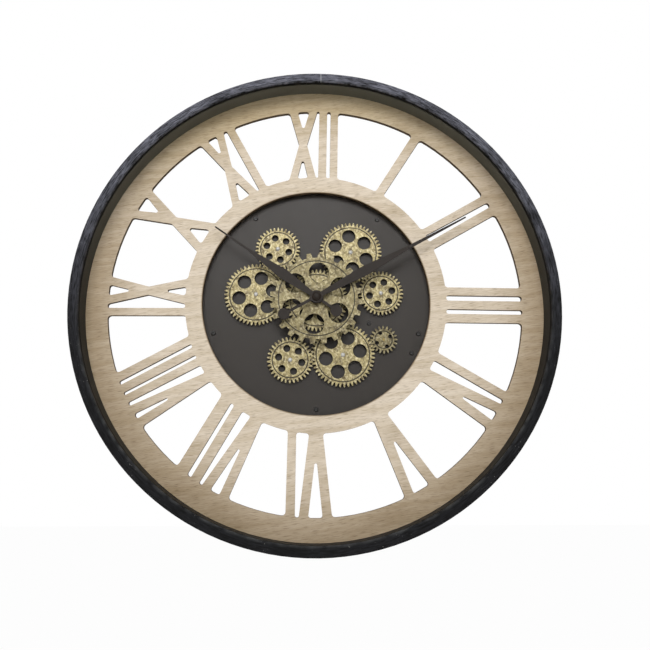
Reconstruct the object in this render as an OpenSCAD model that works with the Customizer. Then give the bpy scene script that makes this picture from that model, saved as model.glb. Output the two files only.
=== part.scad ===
// Skeleton wall clock with a wooden numeral dial and a train of turning gears.
// Everything is drawn in plan, as seen from the front: x right, y up, z out from the wall.
// stand_up() then turns the plan upright: +Z is up, the front faces -Y, the wall is the plane y = 0.
// Angles that start with a clock position run clockwise from twelve.

/* [Rim and hoop] */
// Outside diameter over the rim moulding
rim_d = 600; // [580:5:660]
// Width of the moulding's front face
rim_face_w = 13; // [10:0.5:18]
// Fall of the front face from its inner to its outer edge
rim_fall = 3; // [1:0.5:6]
// Depth of the lip in front of the glass
lip_depth = 9; // [6:0.5:14]
// How far the glass reaches behind the lip
lip_lap = 3.5; // [2.5:0.5:5]
// Thickness of the moulding's skirt outside the hoop
skirt_t = 2.3; // [1.5:0.1:3.5]
// Length of the skirt behind the glass
skirt_len = 8; // [4:1:16]
// Wall thickness of the hoop in front of the dial
hoop_t = 10; // [8:0.5:14]
// Width of the ledge that the dial sits on
ledge_w = 15.7; // [14:0.1:22]
// Thickness of the ledge behind the dial
ledge_t = 12; // [10:0.5:18]

/* [Glass] */
// Thickness of the front glass
glass_t = 3; // [2:0.5:4]
// Free height between the dial's face and the glass
hand_room = 24; // [23:0.5:36]

/* [Dial] */
// Thickness of the wooden dial
dial_t = 6; // [4:0.5:9]
// Radius of the round hole in the middle of the dial
dial_hole_r = 143.4; // [139:0.2:146]
// Width of the band inside the numerals
inner_band_w = 21.1; // [20.6:0.1:28]
// Width of the band outside the numerals
outer_band_w = 27; // [20:0.5:38]
// Turn of the numerals from the true hours, clockwise
numeral_turn = 1; // [0:0.1:2]
// Width of the arms of V
v_arm = 11; // [8:0.5:12]
// Width of the arms of X
x_arm = 10.5; // [8:0.5:11]
// Width of X where its strokes cross
x_waist = 10.5; // [8:0.5:14]
// Radius of the rounded corners of the openings
corner_r = 4; // [1:0.5:6]

/* [Gear case] */
// Depth from the wall to the dial's back
case_depth = 30; // [30:0.5:45]
// Gap between the case's back and the wall
case_back_gap = 1.5; // [1:0.1:2]
// Wall thickness of the case
case_wall = 1.2; // [0.8:0.1:2]
// Thickness of the case's back
case_floor = 1.5; // [1:0.1:2]
// Width of the flange that is screwed to the dial
flange_w = 10; // [8.5:0.5:11]
// Gap between the dial's back and the gear plate
plate_drop = 4; // [2:0.5:6]
// Thickness of the gear plate
plate_t = 2; // [1.5:0.1:3]
// Distance from the gear plate's edge to the middles of its screws
plate_screw_inset = 14.9; // [13.5:0.1:18]
// Radius of the posts behind the plate
post_r = 4; // [3:0.5:5]
// Number of screws that hold the case to the dial
case_screw_n = 6; // [4:1:8]

/* [Gears] */
// Module of the fine gears: pitch diameter over tooth count
gear_module = 1.6; // [1.5:0.01:1.65]
// Thickness of the gears
gear_t = 2.5; // [1.5:0.1:3]
// Gap between the gear plate and the gears
gear_gap = 3.5; // [2.5:0.1:5]
// Play between meshing teeth, along the pitch circle
tooth_play = 0.5; // [0.4:0.05:0.9]
// Radius of the axles
axle_r = 2; // [1.5:0.1:2.4]
// Step from the fine gears' faces to the back of the large front gear
front_step = 10; // [6:0.5:12]
// Tip radius of the front gear
front_tip_r = 58; // [54:0.5:62]
// Height of the front gear's teeth
front_tooth_h = 6; // [4:0.5:8]
// Radius of the centre post that the middle gears turn on
center_post_r = 5; // [4.8:0.1:6]
// Width of the engraved circle on each gear
groove_w = 1.4; // [0.6:0.1:1.6]
// Depth of the engraved circle on each gear
groove_d = 0.6; // [0.3:0.1:1]

/* [Hands] */
// Minutes past ten that the hands show
minutes_shown = 10.2; // [0:0.1:14]
// Length of the minute hand from its axis to the tip
minute_len = 218; // [190:1:240]
// Length of the hour hand from its axis to the tip
hour_len = 158; // [120:1:175]
// Greatest width of the minute hand
minute_w = 13; // [8:0.2:16]
// Greatest width of the hour hand
hour_w = 13.4; // [8:0.2:16]
// Distance from the axis to the minute hand's counterweight disc
minute_tail = 46; // [35:1:60]
// Distance from the axis to the hour hand's counterweight disc
hour_tail = 30; // [25:1:45]
// Radius of the counterweight discs
tail_r = 7.2; // [5:0.1:8]
// Thickness of the hands
hand_t = 0.8; // [0.5:0.1:1.2]
// Radius of the hour hand's hub
hour_hub_r = 8.5; // [7:0.1:10]
// Radius of the domed nut over the hands
cap_r = 5.8; // [4.5:0.1:7]

/* [Movements] */
// Side of the square clock movement
movement_w = 56; // [55:1:62]
// Thickness of the clock movement
movement_t = 16; // [15.8:0.1:16.5]
// Radius of the gear motor
motor_r = 25; // [20:0.5:27]
// Length of the gear motor behind the plate
motor_t = 14; // [10:0.5:16]
// Distance between the motor's two screws
motor_screw_span = 64.8; // [60:0.2:66]
// Diameter of a battery
cell_d = 14.5; // [13.8:0.1:14.5]
// Length of a battery with its tip
cell_len = 50.5; // [48:0.1:50.5]

/* [Hanger] */
// Radius of the keyhole's round opening
keyhole_r = 4; // [3:0.1:4.4]
// Radius of the keyhole's slot
keyhole_slot_r = 2; // [1.5:0.05:2.2]
// Thickness of the hanger plate
hanger_t = 1.5; // [1:0.1:2.5]

/* [Hidden] */
$fn = 96;

// Clearances between pieces
run_fit = 0.06;
press_fit = 0.02;
seat_fit = 0.1;
dial_fit = 0.2;
axial_play = 0.2;
loose_fit = 0.4;
over = 0.1;

// Levels, as distances from the wall
dial_back = case_depth;
dial_face = dial_back + dial_t;
ledge_back = dial_back - ledge_t;
glass_back = dial_face + hand_room;
glass_face = glass_back + glass_t;
rim_front = glass_face + lip_depth;
plate_face = dial_back - plate_drop;
plate_back = plate_face - plate_t;
case_inside = case_back_gap + case_floor;
gear_back = plate_face + gear_gap;
gear_face = gear_back + gear_t;
front_gear_back = gear_face + front_step;
front_gear_face = front_gear_back + gear_t;

// Rim and hoop radii
rim_r = rim_d / 2;
lip_r = rim_r - rim_face_w;
glass_r = lip_r + lip_lap;
hoop_r = rim_r - skirt_t;
hoop_in_r = hoop_r - hoop_t;
ledge_r = hoop_in_r - ledge_w;
dial_r = hoop_in_r - dial_fit;
foot_r = dial_hole_r + inner_band_w;
head_r = dial_r - outer_band_w;
edge_round = 1.5;
rim_sheet = skirt_t - seat_fit;
ring_fn = 180;

// Case radii
flange_gap = 2.5;
flange_r = foot_r - flange_gap;
case_r = flange_r - flange_w;
plate_r = case_r - case_wall - loose_fit;
plate_screw_r = plate_r - plate_screw_inset;
case_screw_r = (flange_r + case_r) / 2;
post_angles = [36, 108, 180, 252, 324];

// Numerals, clockwise: hour, kind (1, 5 or 10), foot centre, head centre, foot width, head width,
// all across the hour line, and how far in the notch of a V reaches, as a share of the height
strokes = [
    [0, 10, -21.5, -22.5, 35, 37, 0], [0, 1, 4.2, 4.2, 10.5, 10.5, 0], [0, 1, 19.2, 19.2, 10, 10, 0],
    [1, 1, -2.8, -0.5, 11.2, 12, 0],
    [2, 1, -10.5, -11.5, 9, 11, 0], [2, 1, 9, 7, 11, 12, 0],
    [3, 1, -14, -14.8, 10.5, 10.5, 0], [3, 1, 3.5, 2.8, 11, 11.5, 0], [3, 1, 20.5, 19.7, 11, 11, 0],
    [4, 1, -15, -16, 10.5, 10.5, 0], [4, 5, 11.8, 12, 16.5, 34, 0.5365],
    [5, 5, 2.5, 1.8, 18, 43.5, 0.349],
    [6, 5, -2.8, -4, 16.5, 39, 0.3594], [6, 1, 26, 25.5, 10, 11, 0],
    [7, 5, -14.5, -17.8, 15, 34.5, 0.4115], [7, 1, 11, 9.5, 12, 11.5, 0], [7, 1, 29.3, 28.5, 14.5, 15, 0],
    [8, 5, -21, -21.5, 12, 29, 0.5469], [8, 1, 1, 2.5, 10, 9.5, 0], [8, 1, 15.2, 16, 10, 10, 0],
    [8, 1, 30, 30.8, 10, 10.5, 0],
    [9, 1, -19.5, -21.5, 9.5, 9.5, 0], [9, 10, 6.8, 6, 32.5, 35, 0],
    [10, 10, -3.8, -9, 43.5, 44, 0],
    [11, 10, -17, -16.5, 38, 35, 0], [11, 1, 10.5, 11, 10.5, 10.5, 0]];
function at_height(share) = foot_r + share * (head_r - foot_r);
waist_r = at_height(0.4844);
x_top_notch_r = at_height(0.7448);
x_foot_notch_r = at_height(0.2344);
notch_tip_w = 3;
stroke_margin = 1.2;
arc_step = 3;
corner_steps = 3;

// Tooth counts and places of the gears: clock angle from the gear that each one meshes with
large_n = 48;
small_n = 34;
motor_n = 20;
front_n = 24;
left_a = 275.3;
top_right_a = 34.9;
bottom_right_a = 154.5;
top_left_a = 23.9;
right_a = 144.8;
bottom_left_a = 264.4;
motor_a = 69.6;
pressure_angle = 20;
addendum = 0.94 * gear_module;
dedendum = 1.75 * gear_module;
function pitch_r(n) = n * gear_module / 2;
function gear_spacing(a, b) = pitch_r(a) + pitch_r(b);
function clock_dir(a) = [sin(a), cos(a)];
center_pos = [0, 0];
left_pos = gear_spacing(large_n, large_n) * clock_dir(left_a);
top_right_pos = gear_spacing(large_n, large_n) * clock_dir(top_right_a);
bottom_right_pos = gear_spacing(large_n, large_n) * clock_dir(bottom_right_a);
top_left_pos = left_pos + gear_spacing(large_n, small_n) * clock_dir(top_left_a);
right_pos = top_right_pos + gear_spacing(large_n, small_n) * clock_dir(right_a);
bottom_left_pos = bottom_right_pos + gear_spacing(large_n, small_n) * clock_dir(bottom_left_a);
motor_pos = bottom_right_pos + gear_spacing(large_n, motor_n) * clock_dir(motor_a);
axle_places = [left_pos, top_left_pos, top_right_pos, right_pos, bottom_left_pos, bottom_right_pos];

// The angle at which a gear must stand so that its teeth fall between those of its neighbour
function mesh_turn(dir_clock, n_a, turn_a, n_b) =
    let (t = 90 - dir_clock) t + 180 + (180 - (turn_a - t) * n_a) / n_b;
center_turn = 0;
left_turn = mesh_turn(left_a, large_n, center_turn, large_n);
top_right_turn = mesh_turn(top_right_a, large_n, center_turn, large_n);
bottom_right_turn = mesh_turn(bottom_right_a, large_n, center_turn, large_n);
top_left_turn = mesh_turn(top_left_a, large_n, left_turn, small_n);
right_turn = mesh_turn(right_a, large_n, top_right_turn, small_n);
bottom_left_turn = mesh_turn(bottom_left_a, large_n, bottom_right_turn, small_n);
motor_turn = mesh_turn(motor_a, large_n, bottom_right_turn, motor_n);

// Round holes in the gears, as shares of the pitch radius
large_hole_r = 0.227 * pitch_r(large_n);
large_hole_at = 0.565 * pitch_r(large_n);
small_hole_r = 0.165 * pitch_r(small_n);
small_hole_at = 0.54 * pitch_r(small_n);
motor_hole_r = 0.16 * pitch_r(motor_n);
motor_hole_at = 0.58 * pitch_r(motor_n);
center_holes_a = 35;
left_holes_a = 17;
top_left_holes_a = 46;
top_right_holes_a = 54;
right_holes_a = 17;
bottom_left_holes_a = 43;
bottom_right_holes_a = 17;
motor_holes_a = 64;
groove_inset = 2.4;
front_root_r = front_tip_r - front_tooth_h;
front_hole_r = 12.7;
front_hole_at = 33;
front_groove_r = front_root_r - 4.3;
front_turn = 5;

// Axles and the centre
axle_collar_r = 4;
axle_head_r = 2.6;
axle_head_h = 1.6;
axle_rivet_r = 3;
axle_rivet_t = 0.6;
bush_r = center_post_r - 1;
hour_tube_r = 2.5;
minute_arbor_r = 1.5;
hub_r = center_post_r + 2.5;
post_flange_r = 9;
post_flange_t = 1.5;
hub_back = plate_face + post_flange_t + axial_play;
hub_front = front_gear_face + 0.6;
post_front = hub_front + axial_play;
washer_t = 0.5;
washer_r = 7;
nut_t = 2.5;
nut_flats_r = 6.5;
nut_back = post_front + washer_t;
bush_front = nut_back + nut_t + 0.3;
hour_collet_back = bush_front + axial_play;
hour_hand_back = hour_collet_back + 0.5;
hour_hand_front = hour_hand_back + hand_t;
hour_tube_front = hour_hand_front + 0.2;
minute_collet_back = hour_tube_front + axial_play;
minute_hand_back = minute_collet_back + 1.8;
minute_hand_front = minute_hand_back + hand_t;
cap_h = 3.4;
arbor_front = minute_hand_front + 1.7;
minute_angle = 6 * minutes_shown;
hour_angle = 300 + minutes_shown / 2;
tail_stem_w = 3.7;
neck_w = 5;
tip_w = 1.8;
minute_hub_r = 8;
// Where the blades are widest and where their needles begin, as shares of the length
widest_share = 0.317;
minute_needle_share = 0.605;
hour_needle_share = 0.665;
minute_needle_w = 4.6;
hour_needle_w = 3;

// Clock movement
movement_back = plate_back - movement_t;
movement_corner = 3;
bay_wall = 0.5;
bay_len = cell_len + 1.6;
bay_w = cell_d + 0.8;
bay_y = -movement_w / 2 + 1 + bay_w / 2;
tube_back = movement_back + 8;
knob_pos = [13, 12];
knob_r = 6.5;
knob_t = 3;
knob_stem_r = 1.5;
knob_stem_len = 4;
window_gap = 4;

// Gear motor: the can's middle lies beside its shaft
motor_offset = [8.8, 2.9];
motor_mid = motor_pos + motor_offset;
motor_ear_a = 125.3;
ear_dir = clock_dir(motor_ear_a);
ear_r = 5;
ear_t = 1.2;
motor_boss_r = 5.5;
motor_shaft_r = 1.5;
terminal = [6, 16, 6];
terminal_z = 14;
terminal_x = motor_mid[0] - motor_r - terminal[0] + 2;

// Battery box and switch behind the case
box_mid = [-70, -50];
box_wall = 1.5;
box_len = cell_len + 2 * box_wall + 4.5;
box_wid = 2 * cell_d + 2 * box_wall + 1.5;
box_h = cell_d + 1.5;
door_t = 1.5;
door_fit = 0.4;
door_len = box_len - 2 * box_wall;
door_wid = box_wid - 2 * box_wall;
barrel_r = 1.2;
hinge_pin_r = 0.8;
hinge_y = box_mid[1] + door_wid / 2 - barrel_r - door_fit;
hinge_z = case_back_gap + door_t / 2;
lug_w = 2.2;
pin_len = 1.8;
contact_t = 0.4;
switch_size = [22, 11, 7];
switch_mid = [box_mid[0], box_mid[1] - box_wid / 2 - switch_size[1] / 2];
slider_size = [5, 4];
slider_base = [9, 7, 1.5];
switch_travel = 4;
slider_out = 0.9;
lead_r = 0.9;
lead_z = 11;
lead_gap = 8;

// Screws
screw_head_h = 1.6;
screw_head_r = 3;
screw_r = 1.5;
drive_w = 0.8;
case_screw_len = 4.6;

// Hanger, on the back of the ledge; its upper corners keep clear of the hoop's wall
hanger_w = 46;
hanger_h = ledge_w - 1.3;
hanger_back = ledge_back - hanger_t;
hanger_top = sqrt(pow(hoop_in_r - seat_fit, 2) - pow(hanger_w / 2, 2));
hanger_mid = [0, hanger_top - hanger_h / 2];
keyhole_rise = keyhole_r + 1.5;
keyhole_pos = hanger_mid - [0, (keyhole_rise + keyhole_slot_r - keyhole_r) / 2];
hanger_hole_x = 17;
nail_pocket = [2 * keyhole_r + 4, keyhole_r + keyhole_rise + keyhole_slot_r + 1, ledge_t - 3];
hanger_screw_len = ledge_t - 3;

module stand_up() {
    rotate([90, 0, 0]) children();
}

module disc(r, z1, z2) {
    translate([0, 0, z1]) cylinder(r = r, h = z2 - z1);
}

module tube(r_in, r_out, z1, z2) {
    difference() {
        disc(r_out, z1, z2);
        disc(r_in, z1 - over, z2 + over);
    }
}

module around(angles, r) {
    for (a = angles) translate(r * clock_dir(a)) children();
}

// Pan-head screw, pointing to +z from under its head at z = 0
module screw(len, head_r = screw_head_r) {
    difference() {
        translate([0, 0, -screw_head_h]) cylinder(r1 = head_r * 0.75, r2 = head_r, h = screw_head_h);
        for (t = [0, 90]) rotate(t)
            translate([-drive_w / 2, -head_r * 0.55, -screw_head_h - over])
                cube([drive_w, head_r * 1.1, screw_head_h * 0.5 + over]);
    }
    cylinder(r = screw_r, h = len);
}

// Rim moulding: a rolled channel whose lip holds the glass against the hoop
module rim_moulding() {
    color("#2b2a2b") stand_up() rotate_extrude($fn = ring_fn) polygon([
        [lip_r, glass_face + seat_fit],
        [lip_r, rim_front - edge_round],
        [lip_r + edge_round, rim_front],
        [rim_r - 2 * edge_round, rim_front - rim_fall + edge_round * 0.6],
        [rim_r - edge_round * 0.6, rim_front - rim_fall],
        [rim_r, rim_front - rim_fall - edge_round],
        [rim_r, glass_back - skirt_len + 0.8],
        [rim_r - 0.8, glass_back - skirt_len],
        [hoop_r + seat_fit, glass_back - skirt_len],
        [hoop_r + seat_fit, rim_front - rim_fall - rim_sheet],
        [lip_r + rim_sheet, rim_front - rim_sheet],
        [lip_r + rim_sheet, glass_face + seat_fit]]);
}

// Deep hoop behind the moulding, with the ledge that carries the dial and a pocket for the wall screw
module hoop() {
    color("#4a4742") stand_up() difference() {
        rotate_extrude($fn = ring_fn) polygon([
            [hoop_in_r, dial_back], [hoop_in_r, glass_back], [hoop_r, glass_back], [hoop_r, 1],
            [hoop_r - 1, 0], [hoop_in_r, 0], [hoop_in_r, ledge_back], [ledge_r, ledge_back],
            [ledge_r, dial_back]]);
        translate([-nail_pocket[0] / 2, keyhole_pos[1] - keyhole_r - 0.5, ledge_back - over])
            cube([nail_pocket[0], nail_pocket[1], nail_pocket[2] + over]);
        for (s = [-1, 1]) translate([s * hanger_hole_x, hanger_mid[1], ledge_back - over])
            cylinder(r = screw_r + press_fit, h = hanger_screw_len + 1 + over);
    }
}

module front_glass() {
    color("#dfe8ea", 0.3) stand_up() disc(glass_r, glass_back, glass_face);
}

// Numerals: corner points in plan from a place across and along an hour line
function hour_point(h, x, y) =
    let (a = 30 * h + numeral_turn) [x * cos(a) + y * sin(a), -x * sin(a) + y * cos(a)];
function on_circle(h, x, r) = hour_point(h, x, sqrt(r * r - x * x));
function stroke_foot(s, side) = on_circle(s[0], s[2] + side * s[4] / 2, foot_r);
function stroke_head(s, side) = on_circle(s[0], s[3] + side * s[5] / 2, head_r);
function stroke_waist(s, side) = s[1] == 10
    ? [[hour_point(s[0], (s[2] + s[3]) / 2 + side * x_waist / 2, waist_r), corner_r]] : [];
function clock_angle(p) = let (a = atan2(p[0], p[1])) a < 0 ? a + 360 : a;
function arc_between(a, b, r) =
    let (n = floor((b - a) / arc_step))
    n < 1 ? [] : [for (i = [1:n]) [r * clock_dir(a + (b - a) * i / (n + 1)), 0]];
function wrap(a, b) = b < a ? b + 360 : b;
function gap_outline(s, t) =
    let (s_foot = stroke_foot(s, 1), s_head = stroke_head(s, 1), t_foot = stroke_foot(t, -1),
         t_head = stroke_head(t, -1), a_head = clock_angle(s_head), a_foot = clock_angle(s_foot),
         foot_arc = arc_between(a_foot, wrap(a_foot, clock_angle(t_foot)), foot_r))
    concat([[s_foot, corner_r]], stroke_waist(s, 1), [[s_head, corner_r]],
        arc_between(a_head, wrap(a_head, clock_angle(t_head)), head_r),
        [[t_head, corner_r]], stroke_waist(t, -1), [[t_foot, corner_r]],
        [for (i = [len(foot_arc) - 1:-1:0]) foot_arc[i]]);

// Notches inside a V and an X, as three or four rounded corners
function notch(h, at, base_c, base_w, tip_c, tip_at) = [
    [on_circle(h, base_c - base_w / 2, at), corner_r * 0.7],
    [hour_point(h, tip_c - notch_tip_w / 2, tip_at), notch_tip_w / 2],
    [hour_point(h, tip_c + notch_tip_w / 2, tip_at), notch_tip_w / 2],
    [on_circle(h, base_c + base_w / 2, at), corner_r * 0.7]];
function part_way(a, b, r) = a + (b - a) * (r - foot_r) / (head_r - foot_r);
function v_notch(s) =
    notch(s[0], head_r, s[3], s[5] - 2 * v_arm, part_way(s[2], s[3], at_height(s[6])), at_height(s[6]));
function x_head_notch(s) =
    notch(s[0], head_r, s[3], s[5] - 2 * x_arm, part_way(s[2], s[3], x_top_notch_r), x_top_notch_r);
function x_foot_notch(s) =
    notch(s[0], foot_r, s[2], s[4] - 2 * x_arm, part_way(s[2], s[3], x_foot_notch_r), x_foot_notch_r);

// Round each corner of an outline of [point, radius]; a corner's arc never takes half an edge
function unit(v) = v / norm(v);
function turn(v, a) = [v[0] * cos(a) - v[1] * sin(a), v[0] * sin(a) + v[1] * cos(a)];
function rounded_corner(p0, p1, p2, r) =
    let (v1 = unit(p0 - p1), v2 = unit(p2 - p1), half = acos(v1 * v2) / 2,
         t = min(r / tan(half), 0.45 * norm(p0 - p1), 0.45 * norm(p2 - p1)),
         c = p1 + unit(v1 + v2) * t / cos(half),
         way = cross(v1, v2) > 0 ? -1 : 1, sweep = 180 - 2 * half)
    [for (i = [0:corner_steps]) c + turn(p1 + v1 * t - c, way * sweep * i / corner_steps)];
function rounded(o) = [for (i = [0:len(o) - 1])
    let (n = len(o), p0 = o[(i + n - 1) % n][0], p2 = o[(i + 1) % n][0])
    each o[i][1] > 0 ? rounded_corner(p0, o[i][0], p2, o[i][1]) : [o[i][0]]];

// Wooden dial, cut from one board: two bands and the strokes of the numerals between them. They are
// drawn as pieces that meet on the sides of two polygons, just past the rounded corners.
function ring_points(r) = [for (i = [0:ring_fn - 1]) around_point(r, i * 360 / ring_fn)];
head_cut_r = head_r - corner_r - 1;
foot_cut_r = foot_r + corner_r + 1;

module numeral_gaps() {
    for (i = [0:len(strokes) - 1])
        polygon(rounded(gap_outline(strokes[i], strokes[(i + 1) % len(strokes)])));
    for (s = strokes) {
        if (s[1] == 5) polygon(rounded(v_notch(s)));
        if (s[1] == 10) polygon(rounded(x_head_notch(s)));
        if (s[1] == 10) polygon(rounded(x_foot_notch(s)));
    }
}

module dial_outer_band() {
    color("#c3ae90") stand_up() translate([0, 0, dial_back]) linear_extrude(dial_t) difference() {
        circle(dial_r, $fn = ring_fn);
        polygon(ring_points(head_cut_r));
        numeral_gaps();
    }
}

module dial_inner_band() {
    color("#d5c6b0") stand_up() difference() {
        translate([0, 0, dial_back]) linear_extrude(dial_t) difference() {
            polygon(ring_points(foot_cut_r));
            circle(dial_hole_r, $fn = ring_fn);
            numeral_gaps();
        }
        around(case_screw_angles, case_screw_r)
            disc(screw_r + press_fit, dial_back - over, dial_back + case_screw_len - case_wall);
    }
}

// All strokes of one kind; each is picked out by an outline that is a little wider than itself
function stroke_side(s, side, w) = concat(
    [on_circle(s[0], s[2] + side * (s[4] / 2 + w), foot_r - 2)],
    s[1] == 10 ? [hour_point(s[0], (s[2] + s[3]) / 2 + side * (x_waist / 2 + w), waist_r)] : [],
    [on_circle(s[0], s[3] + side * (s[5] / 2 + w), head_r + 2)]);
function reversed(o) = [for (i = [len(o) - 1:-1:0]) o[i]];
module numeral_strokes(kind) {
    color("#cbb797") stand_up() translate([0, 0, dial_back]) linear_extrude(dial_t) intersection() {
        difference() {
            polygon(ring_points(head_cut_r));
            polygon(ring_points(foot_cut_r));
            numeral_gaps();
        }
        for (s = strokes) if (s[1] == kind)
            polygon(concat(stroke_side(s, -1, stroke_margin), reversed(stroke_side(s, 1, stroke_margin))));
    }
}
case_screw_angles = [for (i = [0:case_screw_n - 1]) 30 + i * 360 / case_screw_n];

// Hanger plate with its keyhole, on the back of the ledge at the top
module hanger_plate() {
    color("#b9b9b5") stand_up() translate([0, 0, hanger_back]) linear_extrude(hanger_t) difference() {
        translate([-hanger_w / 2, hanger_mid[1] - hanger_h / 2]) square([hanger_w, hanger_h]);
        translate(keyhole_pos) circle(keyhole_r);
        translate(keyhole_pos + [-keyhole_slot_r, 0]) square([2 * keyhole_slot_r, keyhole_rise]);
        translate(keyhole_pos + [0, keyhole_rise]) circle(keyhole_slot_r);
        for (s = [-1, 1]) translate([s * hanger_hole_x, hanger_mid[1]]) circle(screw_head_r + seat_fit);
    }
}

// Countersunk screws of the hanger plate
module hanger_screws() {
    color("#8e8e8b") stand_up() for (s = [-1, 1])
        translate([s * hanger_hole_x, hanger_mid[1], hanger_back])
        difference() {
            union() {
                cylinder(r = screw_head_r, h = hanger_t);
                cylinder(r = screw_r, h = hanger_t + hanger_screw_len);
            }
            translate([-drive_w / 2, -screw_head_r, -over]) cube([drive_w, 2 * screw_head_r, 0.6 + over]);
        }
}

// Pressed steel case behind the dial, open at the front, with windows for what is reached from behind
module gear_case() {
    color("#33302e") stand_up() difference() {
        rotate_extrude($fn = ring_fn) polygon([
            [0, case_back_gap], [case_r - 2, case_back_gap], [case_r, case_back_gap + 2],
            [case_r, dial_back - case_wall], [flange_r, dial_back - case_wall], [flange_r, dial_back],
            [case_r - case_wall, dial_back], [case_r - case_wall, case_inside], [0, case_inside]]);
        around(case_screw_angles, case_screw_r)
            disc(screw_r + seat_fit, dial_back - case_wall - over, dial_back + over);
        translate([0, 0, (case_back_gap + case_inside) / 2])
            cube([movement_w + 2 * window_gap, movement_w + 2 * window_gap, 2 * case_floor], center = true);
        translate([box_mid[0], box_mid[1], case_inside - case_floor / 2])
            cube([door_len, door_wid + 2 * door_fit, 2 * case_floor], center = true);
        translate([box_mid[0] - 6, box_mid[1] - door_wid / 2 - 3, case_back_gap - over])
            cube([12, 3, case_floor / 2 + over]);
        translate([switch_mid[0], switch_mid[1], case_inside - case_floor / 2])
            cube([slider_size[0] + switch_travel + 2 * loose_fit, slider_size[1] + 2 * loose_fit,
                2 * case_floor], center = true);
    }
}

// Screws through the case's flange into the dial
module case_screws() {
    color("#6f6d69") stand_up() around(case_screw_angles, case_screw_r)
        translate([0, 0, dial_back - case_wall]) screw(case_screw_len - 0.4);
}

module plate_posts() {
    color("#8d8a84") stand_up() around(post_angles, plate_screw_r) difference() {
        disc(post_r, case_inside, plate_back);
        disc(screw_r, plate_back - 10, plate_back + over);
    }
}

// Dark plate that all the gears stand on
module gear_plate() {
    color("#4a4744") stand_up() difference() {
        disc(plate_r, plate_back, plate_face);
        around(post_angles, plate_screw_r) disc(screw_r + seat_fit, plate_back - over, plate_face + over);
        disc(bush_r + seat_fit, plate_back - over, plate_face + over);
        for (p = axle_places) translate(p) disc(axle_r + press_fit, plate_back - over, plate_face + over);
        translate(motor_pos) disc(motor_boss_r + loose_fit, plate_back - over, plate_face + over);
        for (s = [-1, 1]) translate(motor_mid + s * ear_dir * motor_screw_span / 2)
            disc(screw_r + seat_fit, plate_back - over, plate_face + over);
    }
}

module plate_screws() {
    color("#2c2a29") stand_up() around(post_angles, plate_screw_r)
        translate([0, 0, plate_face]) mirror([0, 0, 1]) screw(plate_t + 6);
}

// Shouldered studs riveted into the plate, each with a bright domed head over its gear
module gear_axles() {
    color("#d0cdc8") stand_up() for (p = axle_places) translate(p) {
        disc(axle_rivet_r, plate_back - axle_rivet_t, plate_back);
        disc(axle_r, plate_back - over, plate_face + over);
        disc(axle_collar_r, plate_face, gear_back - axial_play);
        disc(axle_r, gear_back - axial_play - over, gear_face + axial_play + over);
        translate([0, 0, gear_face + axial_play]) rotate_extrude() axle_head_half();
    }
}

// Half section of a domed head that springs from a short cylinder
module axle_head_half() {
    intersection() {
        square([axle_head_r, axle_head_h]);
        translate([0, axle_head_h - 1.25 * axle_head_r]) circle(1.25 * axle_head_r);
    }
}

// Fixed tube that the middle gears turn on
module center_post() {
    color("#b7b2a8") stand_up() difference() {
        union() {
            disc(post_flange_r, plate_face, plate_face + post_flange_t);
            disc(center_post_r, plate_face, post_front);
        }
        disc(bush_r + seat_fit, plate_face - over, post_front + over);
    }
}

module center_washer() {
    color("#b7b2a8") stand_up() tube(bush_r + seat_fit, washer_r, post_front, nut_back);
}

// Hexagon nut on the movement's threaded bush
module center_nut() {
    color("#a88d4e") stand_up() difference() {
        translate([0, 0, nut_back]) cylinder(r = nut_flats_r, h = nut_t, $fn = 6);
        disc(bush_r + press_fit, nut_back - over, nut_back + nut_t + over);
    }
}

module center_hub() {
    color("#a08c57") stand_up() tube(center_post_r + run_fit, hub_r, hub_back, hub_front);
}

// Involute teeth: the angle from a tooth's middle to its flank at radius r
function roll_angle(r, base) = r <= base ? 0 : tan(acos(base / r)) * 180 / PI - acos(base / r);
function flank_angle(n, r) =
    let (p = pitch_r(n), base = p * cos(pressure_angle))
    90 / n - tooth_play / (4 * p) * 180 / PI + roll_angle(p, base) - roll_angle(r, base);
function around_point(r, a) = [r * cos(a), r * sin(a)];
function fine_teeth(n) =
    let (p = pitch_r(n), levels = [p - dedendum, p, p + addendum])
    [for (i = [0:n - 1]) each concat(
        [for (r = levels) around_point(r, i * 360 / n - flank_angle(n, r))],
        [for (k = [2:-1:0]) around_point(levels[k], i * 360 / n + flank_angle(n, levels[k]))])];

// A gear lying with its back at z = 0: outline, bore, a ring of holes and an engraved circle
module gear_disc(outline, bore, hole_n, hole_r, hole_at, hole_a, ring_r, turned) {
    difference() {
        linear_extrude(gear_t) difference() {
            rotate(turned) polygon(outline);
            circle(bore);
            for (i = [0:hole_n - 1])
                translate(hole_at * clock_dir(hole_a + i * 360 / hole_n)) circle(hole_r);
        }
        tube(ring_r - groove_w / 2, ring_r + groove_w / 2, gear_t - groove_d, gear_t + over);
    }
}

module fine_gear(n, pos, turned, bore, hole_n, hole_r, hole_at, hole_a) {
    color("#9c8a58") stand_up() translate([pos[0], pos[1], gear_back])
        gear_disc(fine_teeth(n), bore, hole_n, hole_r, hole_at, hole_a,
            pitch_r(n) - dedendum - groove_inset, turned);
}

module large_gear(pos, turned, hole_a, bore = axle_r + run_fit) {
    fine_gear(large_n, pos, turned, bore, 6, large_hole_r, large_hole_at, hole_a);
}

module small_gear(pos, turned, hole_a) {
    fine_gear(small_n, pos, turned, axle_r + run_fit, 6, small_hole_r, small_hole_at, hole_a);
}

module center_gear_rear() {
    large_gear(center_pos, center_turn, center_holes_a, hub_r + press_fit);
}

// Large front gear with few square teeth
function front_teeth() =
    let (base_half = 4.1, tip_half = 2.6)
    [for (i = [0:front_n - 1]) each let (a = i * 360 / front_n) [
        around_point(front_root_r, a - base_half), around_point(front_tip_r, a - tip_half),
        around_point(front_tip_r, a + tip_half), around_point(front_root_r, a + base_half)]];

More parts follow.
